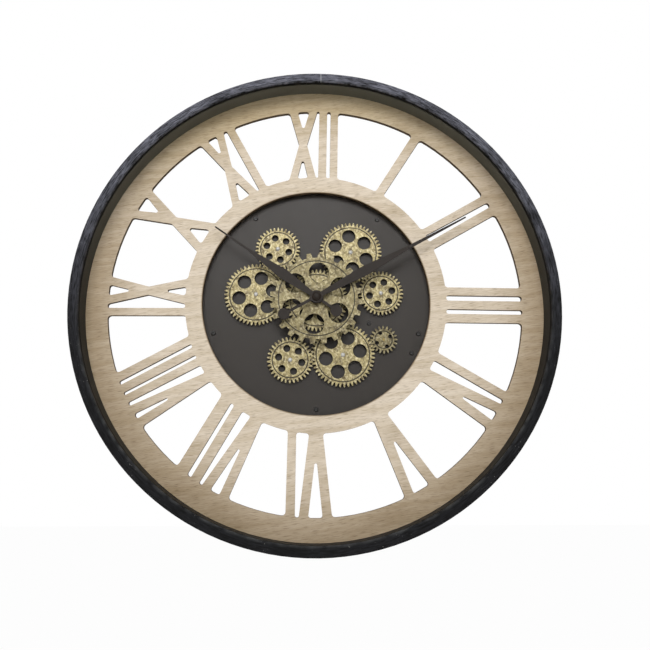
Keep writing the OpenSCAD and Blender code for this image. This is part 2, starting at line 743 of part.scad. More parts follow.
module center_gear_front() {
    color("#a8935c") stand_up() translate([0, 0, front_gear_back])
        gear_disc(front_teeth(), hub_r + press_fit, 6, front_hole_r, front_hole_at, front_turn,
            front_groove_r, 90 - front_turn);
}

// Small gear on the motor's shaft, with a raised hub
module motor_gear() {
    fine_gear(motor_n, motor_pos, motor_turn, motor_shaft_r + press_fit, 4,
        motor_hole_r, motor_hole_at, motor_holes_a);
    color("#9c8a58") stand_up() translate(motor_pos) {
        tube(motor_shaft_r + press_fit, 4.6, gear_face - over, gear_face + 0.5);
        tube(motor_shaft_r + press_fit, 3, gear_face, gear_face + 1);
    }
}

module motor_shaft() {
    color("#c9c6c0") stand_up() translate(motor_pos)
        disc(motor_shaft_r, plate_back - 5, gear_face + 1.2);
}

// Geared motor behind the plate: a flat can with two ears and a terminal block
module gear_motor() {
    color("#8f8f8c") stand_up() {
        difference() {
            union() {
                translate(motor_mid) disc(motor_r, plate_back - motor_t, plate_back);
                translate([motor_mid[0], motor_mid[1], plate_back - ear_t]) linear_extrude(ear_t)
                    rotate(90 - motor_ear_a) {
                        square([motor_screw_span, 2 * ear_r], center = true);
                        for (s = [-1, 1]) translate([s * motor_screw_span / 2, 0]) circle(ear_r);
                    }
                translate(motor_pos) disc(motor_boss_r, plate_back - over, plate_face + 1);
                translate([terminal_x, motor_mid[1] - terminal[1] / 2, terminal_z - terminal[2]])
                    cube(terminal);
            }
            translate(motor_pos)
                disc(motor_shaft_r + run_fit, plate_back - 5 - axial_play, plate_face + 1 + over);
            for (s = [-1, 1]) translate(motor_mid + s * ear_dir * motor_screw_span / 2)
                disc(screw_r + press_fit, plate_back - ear_t - over, plate_back + over);
        }
    }
}

module motor_screws() {
    color("#2c2a29") stand_up() for (s = [-1, 1])
        translate(motor_mid + s * ear_dir * motor_screw_span / 2) translate([0, 0, plate_face])
            mirror([0, 0, 1]) screw(plate_t + ear_t + 0.6, 2.6);
}

module rounded_square(w, r) {
    square([w - 2 * r, w], center = true);
    square([w, w - 2 * r], center = true);
    for (x = [-1, 1], y = [-1, 1]) translate([x * (w / 2 - r), y * (w / 2 - r)]) circle(r);
}

// Quartz clock movement with its threaded bush; the battery lies in a bay that is open behind
module movement_case() {
    color("#1f1f1f") stand_up() difference() {
        union() {
            translate([0, 0, movement_back]) linear_extrude(movement_t)
                rounded_square(movement_w, movement_corner);
            disc(bush_r, plate_back - over, bush_front);
        }
        disc(hour_tube_r + run_fit, tube_back - axial_play, bush_front + over);
        translate([-bay_len / 2, bay_y - bay_w / 2, movement_back - over])
            cube([bay_len, bay_w, cell_d + bay_wall + over]);
        translate(knob_pos) {
            disc(knob_r + 1, movement_back - over, movement_back + 1);
            disc(knob_stem_r + run_fit, movement_back, movement_back + 1 + knob_stem_len);
        }
    }
}

// A cell lying along x with its middle at the origin
module cell() {
    rotate([0, 90, 0]) {
        translate([0, 0, -cell_len / 2]) cylinder(r = cell_d / 2, h = cell_len - 1.5);
        translate([0, 0, cell_len / 2 - 1.6]) cylinder(r = 2.6, h = 1.6);
    }
}

module clock_battery() {
    color("#5f6a73") stand_up()
        translate([0, bay_y, movement_back + 0.3 + cell_d / 2]) cell();
}

// Spring strips at both ends of the battery
module end_strips(mid, z, gap) {
    for (s = [-1, 1]) translate([mid[0] + s * (cell_len / 2 + gap), mid[1], z])
        cube([contact_t, 8, 9], center = true);
}

module clock_contacts() {
    color("#c8c5bd") stand_up()
        end_strips([0, bay_y], movement_back + 0.3 + cell_d / 2, (bay_len - cell_len) / 2 - contact_t / 2);
}

// Knob that sets the hands, with finger flutes round its edge
module set_knob() {
    color("#3a3a3a") stand_up() translate(knob_pos) {
        difference() {
            disc(knob_r, movement_back + 1 - axial_play - knob_t, movement_back + 1 - axial_play);
            for (i = [0:11]) rotate(i * 30) translate([knob_r + 0.4, 0, 0])
                disc(0.9, movement_back - knob_t, movement_back + 1);
        }
        disc(knob_stem_r, movement_back + 1 - axial_play - over, movement_back + knob_stem_len);
    }
}

module hour_tube() {
    color("#b79f5a") stand_up() tube(minute_arbor_r + run_fit, hour_tube_r, tube_back, hour_tube_front);
}

module minute_arbor() {
    color("#b79f5a") stand_up() disc(minute_arbor_r, tube_back, arbor_front);
}

// Hand outline lying along +y: lozenge blade, needle tip, tail stem and round counterweight
module hand_shape(length, width, needle_share, needle_w, tail) {
    widest_at = widest_share * length;
    needle_at = needle_share * length;
    polygon([[-neck_w / 2, 0], [-width / 2, widest_at], [-needle_w / 2, needle_at], [-tip_w / 2, length],
        [tip_w / 2, length], [needle_w / 2, needle_at], [width / 2, widest_at], [neck_w / 2, 0]]);
    translate([-tail_stem_w / 2, -tail]) square([tail_stem_w, tail]);
    translate([0, -tail]) circle(tail_r);
}

module hour_hand() {
    color("#34312e") stand_up() rotate(-hour_angle) difference() {
        union() {
            translate([0, 0, hour_hand_back]) linear_extrude(hand_t) {
                hand_shape(hour_len, hour_w, hour_needle_share, hour_needle_w, hour_tail);
                circle(hour_hub_r);
            }
            disc(3.8, hour_collet_back, hour_hand_back + over);
        }
        disc(hour_tube_r + press_fit, hour_collet_back - over, hour_hand_front + over);
    }
}

module minute_hand() {
    color("#34312e") stand_up() rotate(-minute_angle) difference() {
        union() {
            translate([0, 0, minute_hand_back]) linear_extrude(hand_t) {
                hand_shape(minute_len, minute_w, minute_needle_share, minute_needle_w, minute_tail);
                circle(minute_hub_r);
            }
            disc(3, minute_collet_back, minute_hand_back + over);
        }
        disc(minute_arbor_r + press_fit, minute_collet_back - over, minute_hand_front + over);
    }
}

// Domed nut over the hands
module hub_cap() {
    color("#34312e") stand_up() difference() {
        translate([0, 0, minute_hand_front]) rotate_extrude() {
            square([cap_r, 1]);
            intersection() {
                square([cap_r, cap_h]);
                translate([0, cap_h - 1.4 * cap_r]) circle(1.4 * cap_r);
            }
        }
        disc(minute_arbor_r + press_fit, minute_hand_front - over, arbor_front + 0.1);
    }
}

// Box for the motor's two batteries, open behind, with lugs for the door's hinge pins
module battery_box() {
    color("#242424") stand_up() {
        difference() {
            translate([box_mid[0] - box_len / 2, box_mid[1] - box_wid / 2, case_inside])
                cube([box_len, box_wid, box_h + box_wall]);
            translate([box_mid[0] - box_len / 2 + box_wall, box_mid[1] - box_wid / 2 + box_wall,
                case_inside - over]) cube([box_len - 2 * box_wall, box_wid - 2 * box_wall, box_h + over]);
        }
        for (s = [-1, 1]) translate([box_mid[0] + s * (door_len / 2 - lug_w / 2 - 0.1), hinge_y, 0])
            difference() {
                union() {
                    translate([-lug_w / 2, -barrel_r, hinge_z - barrel_r])
                        cube([lug_w, 2 * barrel_r + door_fit, case_inside - hinge_z + barrel_r + 2]);
                    translate([-lug_w / 2, -barrel_r, case_inside])
                        cube([lug_w, 2 * barrel_r + door_fit + box_wall / 2, 2]);
                }
                translate([-lug_w, 0, hinge_z]) rotate([0, 90, 0])
                    cylinder(r = hinge_pin_r + run_fit, h = 2 * lug_w);
            }
    }
}

// Hinged door over the batteries, flush with the case's back
module battery_door() {
    inner_len = door_len - 2 * lug_w - 2 * door_fit;
    color("#2b2b2b") stand_up() {
        translate([box_mid[0] - inner_len / 2, box_mid[1] - door_wid / 2 + door_fit, case_back_gap])
            cube([inner_len, hinge_y - box_mid[1] + door_wid / 2 - door_fit, door_t]);
        translate([box_mid[0] - inner_len / 2, hinge_y, hinge_z]) rotate([0, 90, 0])
            cylinder(r = barrel_r, h = inner_len);
        translate([box_mid[0] - inner_len / 2 - pin_len, hinge_y, hinge_z]) rotate([0, 90, 0])
            cylinder(r = hinge_pin_r, h = inner_len + 2 * pin_len);
    }
}

cell_gap = 0.6;
cell_z = case_inside + 0.5 + cell_d / 2;
module motor_batteries() {
    color("#7b5a3a") stand_up() for (s = [-1, 1])
        translate([box_mid[0], box_mid[1] + s * (cell_d + cell_gap) / 2, cell_z])
            rotate(s > 0 ? 0 : 180) cell();
}

module battery_contacts() {
    color("#c8c5bd") stand_up() for (s = [-1, 1])
        end_strips([box_mid[0], box_mid[1] + s * (cell_d + cell_gap) / 2], cell_z,
            (box_len - cell_len) / 2 - box_wall - contact_t / 2);
}

// Slide switch for the motor
module switch_body() {
    color("#3c3c3c") stand_up() difference() {
        translate([switch_mid[0] - switch_size[0] / 2, switch_mid[1] - switch_size[1] / 2, case_inside])
            cube(switch_size);
        translate([switch_mid[0], switch_mid[1], case_inside])
            cube([slider_base[0] + switch_travel + 2 * loose_fit, slider_base[1] + 2 * axial_play,
                2 * (slider_base[2] + 2 * axial_play)], center = true);
    }
}

module switch_slider() {
    color("#d8d4cc") stand_up() translate([switch_mid[0] - switch_travel / 2, switch_mid[1], 0]) {
        translate([-slider_size[0] / 2, -slider_size[1] / 2, slider_out])
            cube([slider_size[0], slider_size[1], case_inside + 1 - slider_out]);
        translate([-slider_base[0] / 2, -slider_base[1] / 2, case_inside + axial_play])
            cube(slider_base);
    }
}

// Insulated leads from the battery box to the motor's terminals
module motor_leads() {
    color("#a3322b") stand_up() for (s = [-1, 1])
        translate([box_mid[0] + box_len / 2, motor_mid[1] + s * lead_gap / 2, lead_z])
            rotate([0, 90, 0]) cylinder(r = lead_r, h = terminal_x - box_mid[0] - box_len / 2);
}

rim_moulding();
hoop();
front_glass();
dial_outer_band();
dial_inner_band();
numeral_strokes(1);  // numeral_bars
numeral_strokes(5);  // numeral_vees
numeral_strokes(10);  // numeral_crosses
hanger_plate();
hanger_screws();
gear_case();
case_screws();
plate_posts();
gear_plate();
plate_screws();
gear_axles();
center_post();
center_washer();
center_nut();
center_hub();
center_gear_rear();
center_gear_front();
large_gear(left_pos, left_turn, left_holes_a);  // gear_left
small_gear(top_left_pos, top_left_turn, top_left_holes_a);  // gear_top_left
large_gear(top_right_pos, top_right_turn, top_right_holes_a);  // gear_top_right
small_gear(right_pos, right_turn, right_holes_a);  // gear_right
small_gear(bottom_left_pos, bottom_left_turn, bottom_left_holes_a);  // gear_bottom_left
large_gear(bottom_right_pos, bottom_right_turn, bottom_right_holes_a);  // gear_bottom_right
motor_gear();
motor_shaft();
gear_motor();
motor_screws();
movement_case();
clock_battery();
clock_contacts();
set_knob();
hour_tube();
hour_hand();
minute_arbor();
minute_hand();
hub_cap();
battery_box();
battery_door();
motor_batteries();
battery_contacts();
switch_body();
switch_slider();
motor_leads();
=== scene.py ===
import math

import bpy
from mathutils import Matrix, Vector


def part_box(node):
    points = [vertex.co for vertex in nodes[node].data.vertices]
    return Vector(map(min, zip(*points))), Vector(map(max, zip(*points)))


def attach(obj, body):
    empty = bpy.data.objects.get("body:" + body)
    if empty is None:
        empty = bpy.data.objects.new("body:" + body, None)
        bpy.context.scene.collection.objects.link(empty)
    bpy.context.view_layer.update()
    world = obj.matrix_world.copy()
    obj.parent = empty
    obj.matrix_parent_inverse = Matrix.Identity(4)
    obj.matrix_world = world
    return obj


# Skeleton gear wall clock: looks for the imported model. The wall is the plane y = 0, the front
# faces -Y, and the hands' axis runs along Y through x = 0, z = 0. Lengths are in metres.

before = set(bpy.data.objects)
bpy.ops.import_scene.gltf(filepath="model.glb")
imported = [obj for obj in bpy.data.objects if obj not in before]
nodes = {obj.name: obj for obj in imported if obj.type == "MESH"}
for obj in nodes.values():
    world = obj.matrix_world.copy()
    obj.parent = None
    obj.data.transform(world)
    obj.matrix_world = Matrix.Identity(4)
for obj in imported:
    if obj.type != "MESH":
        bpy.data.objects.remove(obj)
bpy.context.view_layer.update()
MM = 0.001


def linear(hex_code):
    """sRGB hex to a linear colour."""
    values = [int(hex_code[i : i + 2], 16) / 255 for i in (1, 3, 5)]
    return [v / 12.92 if v <= 0.04045 else ((v + 0.055) / 1.055) ** 2.4 for v in values] + [1.0]


def add(tree, kind, inputs=None, **settings):
    """Add a node with its settings; an input takes a value, a socket or a node's first output."""
    node = tree.nodes.new(kind)
    for name, value in settings.items():
        setattr(node, name, value)
    for name, value in (inputs or {}).items():
        if isinstance(name, int):
            socket = node.inputs[name]
        else:
            socket = next(s for s in node.inputs if s.enabled and s.name == name)
        if isinstance(value, bpy.types.Node):
            value = next(s for s in value.outputs if s.enabled)
        if isinstance(value, bpy.types.NodeSocket):
            tree.links.new(value, socket)
        else:
            socket.default_value = value
    return node


def new_material(name):
    """An empty material; returns it, its node tree and its object coordinates."""
    made = bpy.data.materials.new(name)
    made.use_nodes = True
    made.node_tree.nodes.clear()
    return made, made.node_tree, add(made.node_tree, "ShaderNodeTexCoord").outputs["Object"]


def axis_distance(tree, place):
    """How far each point lies from the hands' axis."""
    flat = add(tree, "ShaderNodeVectorMath", {0: place, 1: (1, 0, 1)}, operation="MULTIPLY")
    return add(tree, "ShaderNodeVectorMath", {0: flat}, operation="LENGTH").outputs["Value"]


def kinds_of_ray(tree):
    """The kinds of ray, and 1 for a ray from the camera, straight or through glass."""
    rays = add(tree, "ShaderNodeLightPath").outputs
    from_camera = {0: rays["Is Camera Ray"], 1: rays["Is Transmission Ray"]}
    return rays, add(tree, "ShaderNodeMath", from_camera, operation="MAXIMUM")


WHITE = linear("#ffffff")

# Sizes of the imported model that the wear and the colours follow
RIM_INNER = 287 * MM
RIM_FACE = -67.5 * MM
SEAM_X = 4.7 * MM
SEAM_ABOVE = 100 * MM
DIAL_HOLE = 143.4 * MM
DIAL_EDGE = 287.5 * MM
# Where the dial's painted shade towards the rim begins
RIM_SHADE_STARTS = 205 * MM
FRONT_GEAR_FACE = -44.5 * MM
GEAR_FACE = -32 * MM

# Heights over the hands' axis, and distances from it, where a tone begins and where it is full
# Painted light: the rim's grey grows between these heights towards the top
RIM_GREY_AND_TOP_LIGHT_HEIGHTS = (-0.09, 0.26)
# Partly a painted highlight: the rim's pale inner edge grows stronger between these heights towards
# the bottom
RIM_WEAR_AND_HIGHLIGHT_HEIGHTS = (0.05, -0.15)
# Painted light from below: the hoop's inner wall grows lighter between these heights
HOOP_BOUNCE_LIGHT_HEIGHTS = (-0.08, 0.22)
# Painted shade: the dial's darkening towards the rim is weak at the first height and strong below
# the second
RIM_SHADE_HEIGHTS = (0.26, 0.08)
# Painted shade: the top of the dial's outer band is darkened and warmed between these heights and
# radii
TOP_SHADE_HEIGHTS = (0.14, 0.25)
TOP_SHADE_RADII = (0.21, 0.262)
# How far the wood's grain leans, and how far it sways
GRAIN_TILT = math.radians(8)
GRAIN_SWAY = 18 * MM


def dry_brushed_lacquer():
    """Rolled steel in black lacquer, dry-brushed with grey: dark skin, strokes, a rubbed edge, and
    painted light on the top and on the lower inner edge.
    """
    made, tree, place = new_material("black_lacquer_dry_brushed")
    axes = add(tree, "ShaderNodeSeparateXYZ", {"Vector": place}).outputs
    radius = axis_distance(tree, place)
    # The strokes run round the ring, about 1 mm wide and 12 mm long, in patches of 40 mm
    ring = add(tree, "ShaderNodeCombineXYZ", {"X": axes["X"], "Y": radius, "Z": axes["Z"]})
    strokes = add(
        tree,
        "ShaderNodeTexNoise",
        {
            "Vector": add(tree, "ShaderNodeMapping", {"Vector": ring, "Scale": (85, 1000, 85)}),
            "Scale": 1.0,
            "Detail": 5.0,
            "Roughness": 0.65,
        },
    )
    patches = add(tree, "ShaderNodeTexNoise", {"Vector": place, "Scale": 26.0, "Detail": 3.0})
    skin = add(
        tree,
        "ShaderNodeTexNoise",
        {"Vector": place, "Scale": 330.0, "Detail": 4.0, "Roughness": 0.65},
    )
    # The grey shows on the front face, and ever less from the top down; the strokes are real dry
    # brushing, and their growth towards the top is painted light from the lamp above
    upper = add(
        tree,
        "ShaderNodeMapRange",
        {
            "Value": axes["Z"],
            "From Min": RIM_GREY_AND_TOP_LIGHT_HEIGHTS[0],
            "From Max": RIM_GREY_AND_TOP_LIGHT_HEIGHTS[1],
            "To Min": 0.07,
        },
        interpolation_type="SMOOTHSTEP",
    )
    on_face = add(
        tree,
        "ShaderNodeMapRange",
        {"Value": axes["Y"], "From Min": RIM_FACE + 0.5 * MM, "From Max": RIM_FACE - 0.5 * MM},
    )
    drawn = add(tree, "ShaderNodeMapRange", {"Value": strokes, "From Min": 0.38, "From Max": 0.60})
    loaded = add(tree, "ShaderNodeMapRange", {"Value": patches, "From Min": 0.16, "From Max": 0.52})
    grey_and_top_light = add(tree, "ShaderNodeMath", {0: drawn, 1: loaded}, operation="MULTIPLY")
    grey_and_top_light = add(tree, "ShaderNodeMath", {0: grey_and_top_light, 1: upper}, operation="MULTIPLY")
    grey_and_top_light = add(tree, "ShaderNodeMath", {0: grey_and_top_light, 1: on_face}, operation="MULTIPLY")
    base = add(
        tree,
        "ShaderNodeMix",
        {"Factor": skin, "A": linear("#0a0a0a"), "B": linear("#191919")},
        data_type="RGBA",
    )
    brushed = add(
        tree,
        "ShaderNodeMix",
        {"Factor": grey_and_top_light, "A": base, "B": linear("#747580")},
        data_type="RGBA",
    )
    # Small chips show pale primer
    chips = add(tree, "ShaderNodeTexNoise", {"Vector": place, "Scale": 620.0, "Detail": 2.0})
    chips = add(tree, "ShaderNodeMapRange", {"Value": chips, "From Min": 0.70, "From Max": 0.76})
    knocked = add(tree, "ShaderNodeMapRange", {"Value": patches, "From Min": 0.45, "From Max": 0.6})
    chips = add(tree, "ShaderNodeMath", {0: chips, 1: knocked}, operation="MULTIPLY")
    chipped = add(
        tree,
        "ShaderNodeMix",
        {"Factor": chips, "A": brushed, "B": linear("#8f8e8a")},
        data_type="RGBA",
    )
    # Along the inner edge the paint is rubbed through, most of all below: real wear, with a painted
    # highlight where the lower inner edge faces up to the lamp
    edge = add(
        tree,
        "ShaderNodeMapRange",
        {"Value": radius, "From Min": RIM_INNER + 3.5 * MM, "From Max": RIM_INNER + 0.5 * MM},
    )
    rubbed = add(tree, "ShaderNodeTexNoise", {"Vector": place, "Scale": 70.0, "Detail": 5.0})
    rubbed = add(tree, "ShaderNodeMapRange", {"Value": rubbed, "From Min": 0.36, "From Max": 0.66})
    edge = add(tree, "ShaderNodeMath", {0: edge, 1: rubbed}, operation="MULTIPLY")
    edge = add(tree, "ShaderNodeMath", {0: edge, 1: on_face}, operation="MULTIPLY")
    lower = add(
        tree,
        "ShaderNodeMapRange",
        {
            "Value": axes["Z"],
            "From Min": RIM_WEAR_AND_HIGHLIGHT_HEIGHTS[0],
            "From Max": RIM_WEAR_AND_HIGHLIGHT_HEIGHTS[1],
            "To Min": 0.1,
            "To Max": 0.5,
        },
    )
    edge = add(tree, "ShaderNodeMath", {0: edge, 1: lower}, operation="MULTIPLY")
    worn_and_highlit = add(
        tree,
        "ShaderNodeMix",
        {"Factor": edge, "A": chipped, "B": linear("#5a5b5b")},
        data_type="RGBA",
    )
    # The ring's joint at the top is filled and rubbed pale
    off_seam = add(tree, "ShaderNodeMath", {0: axes["X"], 1: SEAM_X}, operation="SUBTRACT")
    off_seam = add(tree, "ShaderNodeMath", {0: off_seam}, operation="ABSOLUTE")
    seam = add(
        tree,
        "ShaderNodeMapRange",
        {"Value": off_seam, "From Min": 1.0 * MM, "From Max": 0.4 * MM, "To Max": 0.4},
    )
    at_top = add(tree, "ShaderNodeMath", {0: axes["Z"], 1: SEAM_ABOVE}, operation="GREATER_THAN")
    seam = add(tree, "ShaderNodeMath", {0: seam, 1: at_top}, operation="MULTIPLY")
    seam = add(tree, "ShaderNodeMath", {0: seam, 1: on_face}, operation="MULTIPLY")
    colour = add(
        tree,
        "ShaderNodeMix",
        {"Factor": seam, "A": worn_and_highlit, "B": linear("#b4b4b6")},
        data_type="RGBA",
    )
    relief = add(tree, "ShaderNodeMath", {0: strokes, 1: skin}, operation="ADD")
    shader = add(
        tree,
        "ShaderNodeBsdfPrincipled",
        {
            "Base Color": colour,
            "Roughness": add(
                tree, "ShaderNodeMapRange", {"Value": skin, "To Min": 0.5, "To Max": 0.8}
            ),
            "Specular IOR Level": 0.06,
            "Normal": add(
                tree, "ShaderNodeBump", {"Height": relief, "Distance": 0.4 * MM, "Strength": 0.5}
            ),
        },
    )
    add(tree, "ShaderNodeOutputMaterial", {"Surface": shader})
    return made


def flat_black_paint():
    """Bent board in sprayed flat black: a fine dry grain, with painted light from below on the
    upper half of the inner wall.
    """
    made, tree, place = new_material("flat_black_spray_paint")
    cloud = add(tree, "ShaderNodeTexNoise", {"Vector": place, "Scale": 14.0, "Detail": 3.0})
    # On the inner wall the upper half is made lighter: painted light, as if bounced up from the
    # floor below
    radius = axis_distance(tree, place)
    inner = add(
        tree,
        "ShaderNodeMapRange",
        {"Value": radius, "From Min": DIAL_EDGE + 1.5 * MM, "From Max": DIAL_EDGE + 0.7 * MM},
    )
    height = add(tree, "ShaderNodeSeparateXYZ", {"Vector": place}).outputs["Z"]
    bounce_light = add(
        tree,
        "ShaderNodeMapRange",
        {
            "Value": height,
            "From Min": HOOP_BOUNCE_LIGHT_HEIGHTS[0],
            "From Max": HOOP_BOUNCE_LIGHT_HEIGHTS[1],
        },
        interpolation_type="SMOOTHSTEP",
    )
    bounce_light = add(tree, "ShaderNodeMath", {0: bounce_light, 1: inner}, operation="MULTIPLY")
    coat = add(
        tree,
        "ShaderNodeMix",
        {"Factor": cloud, "A": linear("#121110"), "B": linear("#1c1b18")},
        data_type="RGBA",
    )
    bounce_lit_coat = add(
        tree,
        "ShaderNodeMix",
        {"Factor": cloud, "A": linear("#4e4d43"), "B": linear("#5e5c52")},
        data_type="RGBA",
    )
    # The grain is about 1 mm, twice the real one, to show
    grain = add(tree, "ShaderNodeTexNoise", {"Vector": place, "Scale": 900.0, "Detail": 2.0})
    shader = add(
        tree,
        "ShaderNodeBsdfPrincipled",
        {
            "Base Color": add(
                tree,
                "ShaderNodeMix",
                {"Factor": bounce_light, "A": coat, "B": bounce_lit_coat},
                data_type="RGBA",
            ),
            "Roughness": add(
                tree, "ShaderNodeMapRange", {"Value": grain, "To Min": 0.5, "To Max": 0.8}
            ),
            "Specular IOR Level": 0.3,
            "Normal": add(
                tree, "ShaderNodeBump", {"Height": grain, "Distance": 0.05 * MM, "Strength": 0.5}
            ),
        },
    )
    add(tree, "ShaderNodeOutputMaterial", {"Surface": shader})
    return made


def bleached_oak():
    """Board with a bleached oak face, cut by laser: fine level grain, painted shade towards the rim
    and at its top, burnt cuts.
    """
    made, tree, place = new_material("bleached_oak_veneer")
    tilted = add(
        tree, "ShaderNodeMapping", {"Vector": place, "Rotation": (0, GRAIN_TILT, 0)}
    )
    # Slow waves bend the grain by a few millimetres
    wave = add(
        tree,
        "ShaderNodeTexNoise",
        {
            "Vector": add(tree, "ShaderNodeMapping", {"Vector": tilted, "Scale": (6, 6, 12)}),
            "Scale": 1.0,
            "Detail": 2.0,
        },
    )
    axes = add(tree, "ShaderNodeSeparateXYZ", {"Vector": tilted}).outputs
    lift = add(tree, "ShaderNodeMath", {0: wave, 1: GRAIN_SWAY}, operation="MULTIPLY")
    lifted = add(tree, "ShaderNodeMath", {0: axes["Z"], 1: lift}, operation="ADD")
    bent = add(tree, "ShaderNodeCombineXYZ", {"X": axes["X"], "Y": 0.0, "Z": lifted})
    # Growth bands 5 to 10 mm apart, fibres 1.2 mm wide and 25 mm long, and pores 0.7 mm wide,
    # which is twice the real ones, to show
    bands = add(
        tree,
        "ShaderNodeTexNoise",
        {
            "Vector": add(tree, "ShaderNodeMapping", {"Vector": bent, "Scale": (7, 1, 120)}),
            "Scale": 1.0,
            "Detail": 4.0,
            "Roughness": 0.6,
        },
    )
    fibres = add(
        tree,
        "ShaderNodeTexNoise",
        {
            "Vector": add(tree, "ShaderNodeMapping", {"Vector": bent, "Scale": (40, 1, 800)}),
            "Scale": 1.0,
            "Detail": 4.0,
            "Roughness": 0.65,
        },
    )
    pores = add(
        tree,
        "ShaderNodeTexNoise",
        {
            "Vector": add(tree, "ShaderNodeMapping", {"Vector": bent, "Scale": (90, 1, 1300)}),
            "Scale": 1.0,
            "Detail": 2.0,
        },
    )
    stain = add(
        tree,
        "ShaderNodeTexNoise",
        {
            "Vector": add(tree, "ShaderNodeMapping", {"Vector": tilted, "Scale": (9, 1, 26)}),
            "Scale": 1.0,
            "Detail": 4.0,
        },
    )
    tone = add(
        tree,
        "ShaderNodeMix",
        {
            "Factor": add(
                tree,
                "ShaderNodeMapRange",
                {"Value": bands, "From Min": 0.32, "From Max": 0.68},
                interpolation_type="SMOOTHSTEP",
            ),
            "A": linear("#c1b29b"),
            "B": linear("#d3c6b4"),
        },
        data_type="RGBA",
    )
    tone = add(
        tree,
        "ShaderNodeMix",
        {
            "Factor": add(
                tree,
                "ShaderNodeMapRange",
                {"Value": stain, "From Min": 0.52, "From Max": 0.72, "To Max": 0.45},
            ),
            "A": tone,
            "B": linear("#a08e72"),
        },
        data_type="RGBA",
    )
    tone = add(
        tree,
        "ShaderNodeMix",
        {
            "Factor": add(
                tree,
                "ShaderNodeMapRange",
                {"Value": fibres, "From Min": 0.50, "From Max": 0.70, "To Max": 0.6},
            ),
            "A": tone,
            "B": linear("#e3d8ca"),
        },
        data_type="RGBA",
    )
    tone = add(
        tree,
        "ShaderNodeMix",
        {
            "Factor": add(
                tree,
                "ShaderNodeMapRange",
                {"Value": pores, "From Min": 0.54, "From Max": 0.68, "To Max": 0.65},
            ),
            "A": tone,
            "B": linear("#8b7a62"),
        },
        data_type="RGBA",
    )
    # Painted shade: darker towards the rim, where the hoop's deep wall shades the dial, but hardly
    # at the top, where the lamp already casts the hoop's shadow
    radius = axis_distance(tree, place)
    outwards = add(
        tree,
        "ShaderNodeMapRange",
        {"Value": radius, "From Min": RIM_SHADE_STARTS, "From Max": DIAL_EDGE},
        interpolation_type="SMOOTHSTEP",
    )
    below_top = add(
        tree,
        "ShaderNodeMapRange",
        {
            "Value": axes["Z"],
            "From Min": RIM_SHADE_HEIGHTS[0],
            "From Max": RIM_SHADE_HEIGHTS[1],
            "To Min": 0.12,
            "To Max": 0.9,
        },
    )
    rim_shade = add(tree, "ShaderNodeMath", {0: outwards, 1: below_top}, operation="MULTIPLY")
    tone = add(
        tree,
        "ShaderNodeMix",
        {"Factor": rim_shade, "A": tone, "B": linear("#ccc1af")},
        data_type="RGBA",
        blend_type="MULTIPLY",
    )
    # Painted shade: the top of the outer band is darkened and warmed, standing in for the warm
    # shade under the hoop
    high = add(
        tree,
        "ShaderNodeMapRange",
        {
            "Value": axes["Z"],
            "From Min": TOP_SHADE_HEIGHTS[0],
            "From Max": TOP_SHADE_HEIGHTS[1],
        },
    )
    far = add(
        tree,
        "ShaderNodeMapRange",
        {"Value": radius, "From Min": TOP_SHADE_RADII[0], "From Max": TOP_SHADE_RADII[1]},
    )
    top_shade = add(tree, "ShaderNodeMath", {0: high, 1: far}, operation="MULTIPLY")
    tone = add(
        tree,
        "ShaderNodeMix",
        {"Factor": top_shade, "A": tone, "B": linear("#e3dcc8")},
        data_type="RGBA",
        blend_type="MULTIPLY",
    )
    # The laser leaves a brown line round the middle hole, and burns the sides of every cut
    scorch = add(
        tree,
        "ShaderNodeMapRange",
        {
            "Value": radius,
            "From Min": DIAL_HOLE + 1.6 * MM,
            "From Max": DIAL_HOLE + 0.4 * MM,
            "To Max": 0.8,
        },
    )
    scorched = add(
        tree,
        "ShaderNodeMix",
        {"Factor": scorch, "A": tone, "B": linear("#6b5638")},
        data_type="RGBA",
    )
    normal = add(tree, "ShaderNodeNewGeometry").outputs["Normal"]
    facing = add(tree, "ShaderNodeSeparateXYZ", {"Vector": normal}).outputs["Y"]
    side = add(tree, "ShaderNodeMath", {0: facing}, operation="ABSOLUTE")
    side = add(tree, "ShaderNodeMapRange", {"Value": side, "From Min": 0.7, "From Max": 0.35})
    soot = add(tree, "ShaderNodeTexNoise", {"Vector": place, "Scale": 200.0, "Detail": 3.0})
    burnt = add(
        tree,
        "ShaderNodeMix",
        {"Factor": soot, "A": linear("#3b2e20"), "B": linear("#6a563e")},
        data_type="RGBA",
    )
    colour = add(
        tree, "ShaderNodeMix", {"Factor": side, "A": scorched, "B": burnt}, data_type="RGBA"
    )
    relief = add(tree, "ShaderNodeMath", {0: fibres, 1: pores}, operation="SUBTRACT")
    shader = add(
        tree,
        "ShaderNodeBsdfPrincipled",
        {
            "Base Color": colour,
            "Roughness": add(
                tree, "ShaderNodeMapRange", {"Value": fibres, "To Min": 0.65, "To Max": 0.85}
            ),
            "Specular IOR Level": 0.25,
            "Normal": add(
                tree, "ShaderNodeBump", {"Height": relief, "Distance": 0.15 * MM, "Strength": 0.6}
            ),
        },
    )
    add(tree, "ShaderNodeOutputMaterial", {"Surface": shader})
    return made


